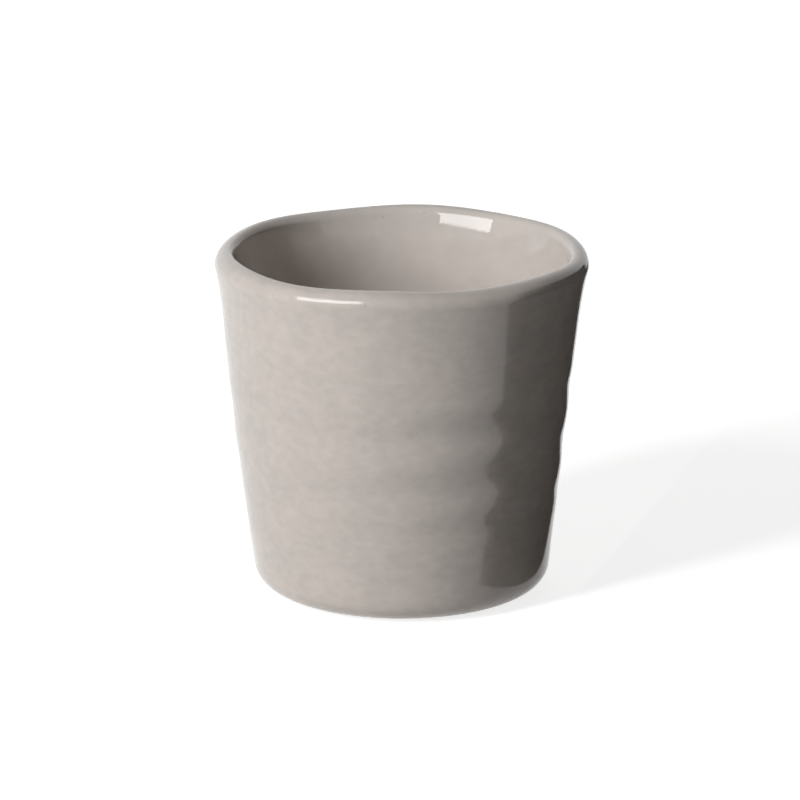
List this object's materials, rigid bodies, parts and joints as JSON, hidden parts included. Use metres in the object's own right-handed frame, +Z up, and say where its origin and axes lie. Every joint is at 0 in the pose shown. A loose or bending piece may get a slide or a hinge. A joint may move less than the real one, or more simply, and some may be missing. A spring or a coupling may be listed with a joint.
{
  "type": "handleless mug",
  "caption": "Handleless stoneware mug with a slightly flared wheel-thrown wall, a rounded uneven lip and a soft heel, glazed inside and out above a bare turned foot ring.",
  "frame": {"origin": "on the surface that the mug stands on, under the middle of its foot ring", "axes": "+Z up through the mouth, -Y towards the front, +X to the right of the front"},
  "size_m": [0.0855, 0.0856, 0.0804],
  "materials": {
    "stoneware": "bare fired clay, matt and slightly gritty",
    "glaze": "warm grey glossy glaze with a fine orange-peel and a few pinholes"
  },
  "bodies": {
    "root": {"clay_body": "stoneware", "outer_glaze": "glaze", "liner_glaze": "glaze", "base_glaze": "glaze"}
  },
  "joints": []
}
